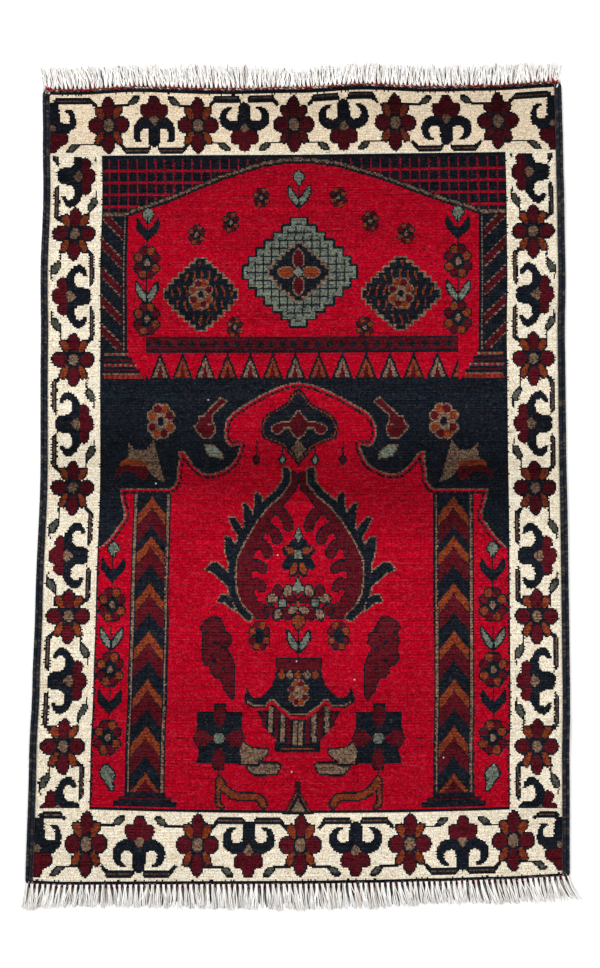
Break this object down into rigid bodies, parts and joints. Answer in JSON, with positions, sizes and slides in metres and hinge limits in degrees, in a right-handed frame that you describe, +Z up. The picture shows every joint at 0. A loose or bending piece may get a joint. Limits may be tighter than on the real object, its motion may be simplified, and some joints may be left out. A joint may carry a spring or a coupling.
{
  "type": "prayer rug",
  "caption": "Hand-knotted wool prayer rug lying flat, with overcast side cords and a warp fringe along both ends.",
  "frame": {"origin": "on the floor under the middle of the rug", "axes": "+X across the rug to the right, +Y along it from the foot to the arch end, +Z up out of the pile"},
  "size_m": [0.8582, 1.3516, 0.0111],
  "materials": {
    "pile": "hand-knotted wool pile in red, ivory, dark blue, burgundy, brown and grey-green",
    "overcast": "dark blue wool, overcast",
    "fringe": "undyed warp yarn with a twined strip in red and brown"
  },
  "bodies": {
    "root": {"rug_cloth": "pile", "side_cord_left": "overcast", "side_cord_right": "overcast", "fringe_arch_end": "fringe", "fringe_foot_end": "fringe"}
  },
  "joints": []
}
